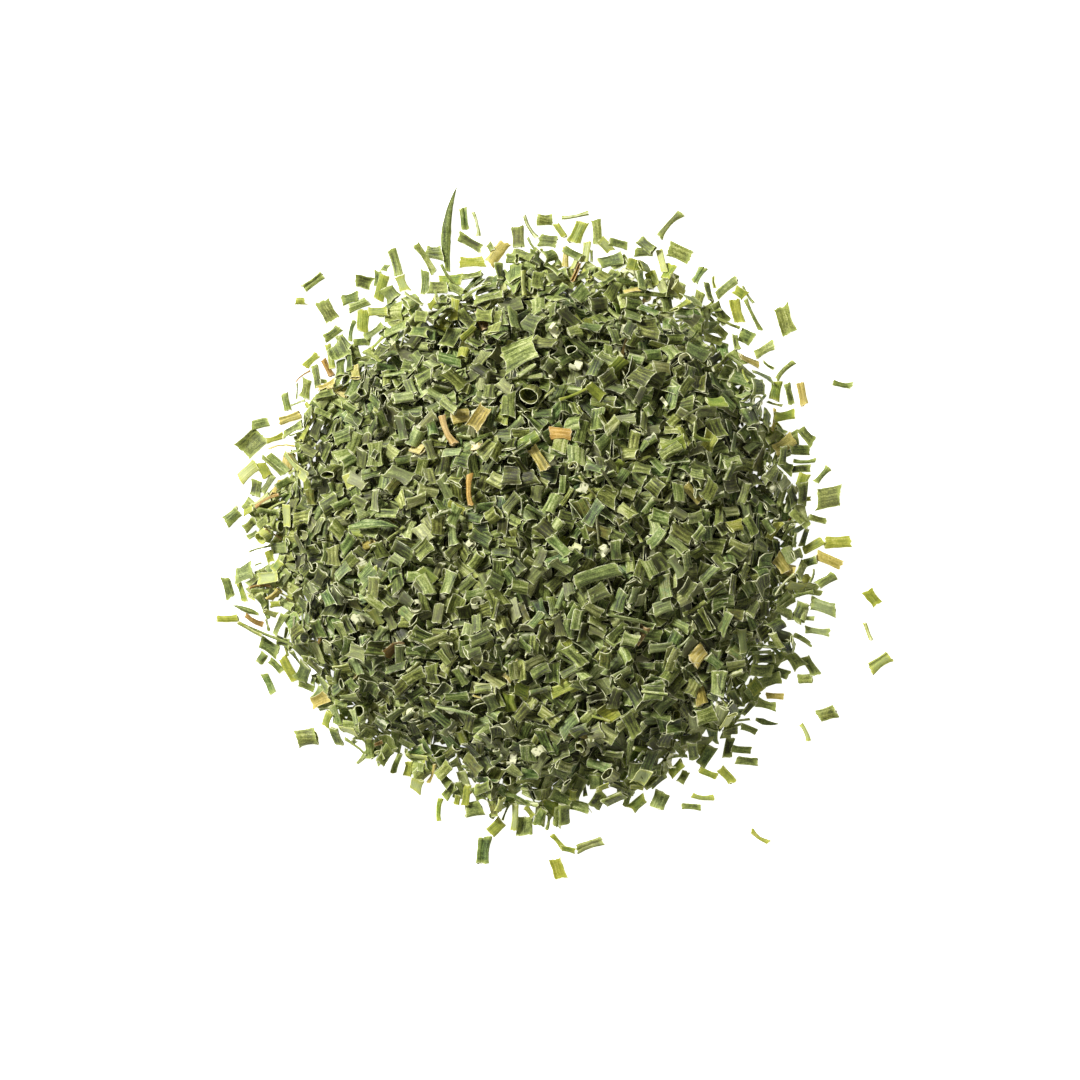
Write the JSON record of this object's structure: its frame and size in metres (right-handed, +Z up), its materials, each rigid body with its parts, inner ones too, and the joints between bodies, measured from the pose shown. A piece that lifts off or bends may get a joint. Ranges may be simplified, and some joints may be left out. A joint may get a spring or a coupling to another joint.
{
  "type": "heap of chopped dried chives",
  "caption": "Poured heap of dried, chopped chives with a few pieces lying loose round its foot; a culinary herb for a kitchen, market or tabletop scene.",
  "frame": {"origin": "the centre of the heap's foot, on the surface it lies on", "axes": "+Z points up out of the surface; Y is the longer way across the scatter and X the shorter"},
  "size_m": [0.1347, 0.1387, 0.0241],
  "materials": {
    "leaf_green": "matte, finely ribbed dried leaf",
    "leaf_light": "matte, thin yellow-green dried leaf",
    "leaf_straw": "matte, straw-coloured dried leaf",
    "leaf_brown": "matte, browned dried leaf"
  },
  "bodies": {
    "root": {"heap": "leaf_green", "loose_tip_01": "leaf_green", "loose_flat_02": "leaf_green", "loose_stick_03": "leaf_green", "loose_flat_04": "leaf_green", "loose_flat_05": "leaf_light", "loose_sheet_06": "leaf_straw", "loose_flat_07": "leaf_green", "loose_stick_08": "leaf_green", "loose_sheet_09": "leaf_green", "loose_flat_10": "leaf_green", "loose_stick_11": "leaf_green", "loose_flat_12": "leaf_light", "loose_flat_13": "leaf_light", "loose_flat_14": "leaf_green", "loose_stick_15": "leaf_green", "loose_flat_16": "leaf_green", "loose_flat_17": "leaf_green", "loose_flat_18": "leaf_green", "loose_flat_19": "leaf_light", "loose_stick_20": "leaf_green", "loose_sheet_21": "leaf_green", "loose_stick_22": "leaf_green", "loose_stick_23": "leaf_green", "loose_flat_24": "leaf_straw", "loose_stick_25": "leaf_green", "loose_sheet_26": "leaf_green", "loose_flat_27": "leaf_light", "loose_flat_28": "leaf_straw", "loose_sheet_29": "leaf_light", "loose_flat_30": "leaf_green", "loose_stick_31": "leaf_light", "loose_flat_32": "leaf_green", "loose_flat_33": "leaf_light", "loose_flat_34": "leaf_green", "loose_stick_35": "leaf_light", "loose_stick_36": "leaf_light", "loose_stick_37": "leaf_light", "loose_sheet_38": "leaf_light", "loose_flat_39": "leaf_green", "loose_stick_40": "leaf_light", "loose_flat_41": "leaf_green", "loose_stick_42": "leaf_light", "loose_tube_43": "leaf_green", "loose_stick_44": "leaf_green", "loose_flat_45": "leaf_light", "loose_flat_46": "leaf_green", "loose_sheet_47": "leaf_green", "loose_flat_48": "leaf_straw", "loose_sheet_49": "leaf_green", "loose_flat_50": "leaf_green", "top_sheet_01": "leaf_straw", "top_stick_02": "leaf_brown", "top_stick_03": "leaf_brown", "top_flat_04": "leaf_straw", "top_tip_05": "leaf_green", "top_flat_06": "leaf_green", "top_sheet_07": "leaf_green", "top_tube_08": "leaf_green"}
  },
  "joints": []
}
